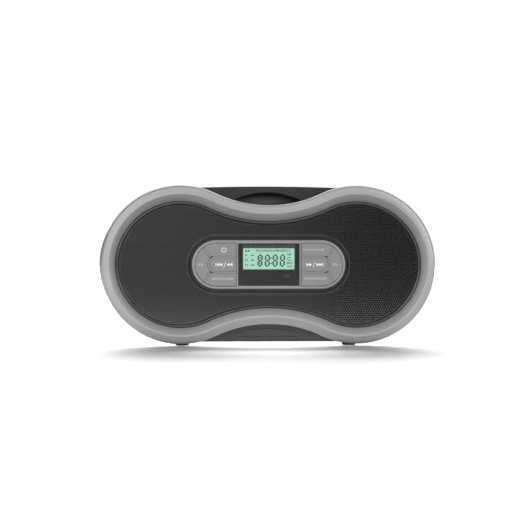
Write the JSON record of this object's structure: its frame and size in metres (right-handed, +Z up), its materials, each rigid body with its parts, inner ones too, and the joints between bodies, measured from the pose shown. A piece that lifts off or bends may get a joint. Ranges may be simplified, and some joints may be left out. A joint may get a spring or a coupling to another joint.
{
  "type": "cd boombox",
  "caption": "Peanut-fronted portable disc and radio player with top-loading lid, keyed display panel, twin speakers, handle and telescopic aerial.",
  "frame": {"origin": "on the ground under the middle of the body", "axes": "+X to the right seen from the front, +Y to the rear, +Z up"},
  "size_m": [0.3, 0.215, 0.144],
  "materials": {
    "silver_plastic": "satin painted",
    "gloss_rim": "gloss",
    "face_black": "fine perforated, matte",
    "panel_grey": "satin painted",
    "key_grey": "satin painted",
    "window_black": "polished",
    "lcd_green": "lit liquid crystal",
    "eye_black": "polished",
    "rubber_grey": "matte",
    "board_green": "solder resist",
    "dark_plastic": "fine grained",
    "cabinet_black": "fine grained",
    "lid_black": "satin",
    "lid_clear": "smoked, polished",
    "steel": "plated",
    "chassis_steel": "pressed and plated",
    "rubber_black": "matte",
    "white_plastic": "moulded",
    "drive_plastic": "moulded",
    "lens_glass": "coated",
    "component_black": "moulded",
    "chrome_metal": "polished",
    "cone_paper": "pressed paper"
  },
  "bodies": {
    "cabinet": {"back_cover": "cabinet_black", "battery_contacts": "chrome_metal", "board_components": "component_black", "carry_handle": "cabinet_black", "case_screws": "steel", "cd_deck": "dark_plastic", "control_panel": "panel_grey", "display_window": "window_black", "feet": "rubber_black", "ferrite_rod": "component_black", "front_baffle": "dark_plastic", "front_trim": "silver_plastic", "grille_ring": "gloss_rim", "guide_rods": "steel", "headphone_jack": "dark_plastic", "hinge_pins": "steel", "ir_receiver": "eye_black", "key_board": "board_green", "key_mat": "rubber_grey", "lcd_module": "lcd_green", "lid_catch": "steel", "main_board": "board_green", "mech_chassis": "chassis_steel", "mech_dampers": "rubber_black", "mech_screws": "steel", "power_inlet": "dark_plastic", "power_transformer": "chassis_steel", "rear_cabinet": "cabinet_black", "sled_motor": "steel", "small_screws": "steel", "speaker_frames": "chassis_steel", "speaker_grille": "face_black", "speaker_magnets": "component_black", "speaker_surround_left": "rubber_black", "speaker_surround_right": "rubber_black", "spindle_motor": "steel"},
    "lid": {"cd_lid": "lid_black", "lid_window": "lid_clear"},
    "turntable": {"turntable": "white_plastic", "spindle_shaft": "steel"},
    "sled": {"pickup_sled": "drive_plastic", "pickup_lens": "lens_glass"},
    "sled_gear": {"sled_gear": "white_plastic"},
    "motor_pinion": {"motor_pinion": "white_plastic"},
    "battery_door": {"battery_door": "cabinet_black"},
    "antenna_base": {"antenna_base": "chrome_metal"},
    "antenna_mast": {"antenna_tube_1": "chrome_metal"},
    "antenna_section_2": {"antenna_tube_2": "chrome_metal"},
    "antenna_section_3": {"antenna_tube_3": "chrome_metal"},
    "antenna_tip": {"antenna_rod": "chrome_metal"},
    "cone_left": {"speaker_cone_left": "cone_paper"},
    "cone_right": {"speaker_cone_right": "cone_paper"},
    "key_power": {"key_power": "key_grey"},
    "key_skip_back": {"key_skip_back": "key_grey"},
    "key_band": {"key_band": "key_grey"},
    "key_volume_down": {"key_volume_down": "key_grey"},
    "key_play": {"key_play": "key_grey"},
    "key_skip_forward": {"key_skip_forward": "key_grey"},
    "key_stop": {"key_stop": "key_grey"},
    "key_volume_up": {"key_volume_up": "key_grey"}
  },
  "joints": [
    {"name": "key_power_press", "type": "slide", "parent": "cabinet", "child": "key_power", "axis": [0, 1, 0], "range_m": [0, 0.0012], "stiffness_N_per_m": 500, "deforming": ["key_mat"]},
    {"name": "key_skip_back_press", "type": "slide", "parent": "cabinet", "child": "key_skip_back", "axis": [0, 1, 0], "range_m": [0, 0.0012], "stiffness_N_per_m": 500, "deforming": ["key_mat"]},
    {"name": "key_band_press", "type": "slide", "parent": "cabinet", "child": "key_band", "axis": [0, 1, 0], "range_m": [0, 0.0012], "stiffness_N_per_m": 500, "deforming": ["key_mat"]},
    {"name": "key_volume_down_press", "type": "slide", "parent": "cabinet", "child": "key_volume_down", "axis": [0, 1, 0], "range_m": [0, 0.0012], "stiffness_N_per_m": 500, "deforming": ["key_mat"]},
    {"name": "key_play_press", "type": "slide", "parent": "cabinet", "child": "key_play", "axis": [0, 1, 0], "range_m": [0, 0.0012], "stiffness_N_per_m": 500, "deforming": ["key_mat"]},
    {"name": "key_skip_forward_press", "type": "slide", "parent": "cabinet", "child": "key_skip_forward", "axis": [0, 1, 0], "range_m": [0, 0.0012], "stiffness_N_per_m": 500, "deforming": ["key_mat"]},
    {"name": "key_stop_press", "type": "slide", "parent": "cabinet", "child": "key_stop", "axis": [0, 1, 0], "range_m": [0, 0.0012], "stiffness_N_per_m": 500, "deforming": ["key_mat"]},
    {"name": "key_volume_up_press", "type": "slide", "parent": "cabinet", "child": "key_volume_up", "axis": [0, 1, 0], "range_m": [0, 0.0012], "stiffness_N_per_m": 500, "deforming": ["key_mat"]},
    {"name": "lid_hinge", "type": "hinge", "parent": "cabinet", "child": "lid", "pos_m": [0, 0.091, 0.14], "axis": [-1, 0, 0], "range_deg": [0, 65]},
    {"name": "turntable_spin", "type": "hinge", "parent": "cabinet", "child": "turntable", "pos_m": [0, 0.025, 0.129], "axis": [0, 0, 1], "continuous": true},
    {"name": "sled_slide", "type": "slide", "parent": "cabinet", "child": "sled", "axis": [1, 0, 0], "range_m": [0, 0.0345]},
    {"name": "sled_gear_spin", "type": "hinge", "parent": "cabinet", "child": "sled_gear", "pos_m": [0.044, 0.0052, 0.1008], "axis": [0, 0, 1], "range_deg": [-412.5, 0]},
    {"name": "motor_pinion_spin", "type": "hinge", "parent": "cabinet", "child": "motor_pinion", "pos_m": [0.02806, -0.004, 0.1008], "axis": [0, 0, 1], "range_deg": [0, 1484]},
    {"name": "battery_door_hinge", "type": "hinge", "parent": "cabinet", "child": "battery_door", "pos_m": [0, 0.1065, 0.011], "axis": [-1, 0, 0], "range_deg": [0, 85]},
    {"name": "antenna_swivel", "type": "hinge", "parent": "cabinet", "child": "antenna_base", "pos_m": [-0.085, 0.1045, 0.1355], "axis": [0, -1, 0], "range_deg": [0, 135]},
    {"name": "antenna_tilt", "type": "hinge", "parent": "antenna_base", "child": "antenna_mast", "pos_m": [-0.085, 0.1045, 0.1355], "axis": [0, 0, 1], "range_deg": [0, 90]},
    {"name": "antenna_section_2_slide", "type": "slide", "parent": "antenna_mast", "child": "antenna_section_2", "axis": [1, 0, 0], "range_m": [0, 0.115]},
    {"name": "antenna_section_3_slide", "type": "slide", "parent": "antenna_section_2", "child": "antenna_section_3", "axis": [1, 0, 0], "range_m": [0, 0.115]},
    {"name": "antenna_tip_slide", "type": "slide", "parent": "antenna_section_3", "child": "antenna_tip", "axis": [1, 0, 0], "range_m": [0, 0.115]},
    {"name": "cone_left_stroke", "type": "slide", "parent": "cabinet", "child": "cone_left", "axis": [0, 1, 0], "range_m": [-0.0012, 0.0012], "stiffness_N_per_m": 900, "deforming": ["speaker_surround_left"]},
    {"name": "cone_right_stroke", "type": "slide", "parent": "cabinet", "child": "cone_right", "axis": [0, 1, 0], "range_m": [-0.0012, 0.0012], "stiffness_N_per_m": 900, "deforming": ["speaker_surround_right"]}
  ],
  "couplings": [
    {"joint": "sled_gear_spin", "follows": "sled_slide", "rad_per_m": -208.33},
    {"joint": "motor_pinion_spin", "follows": "sled_slide", "rad_per_m": 750}
  ]
}
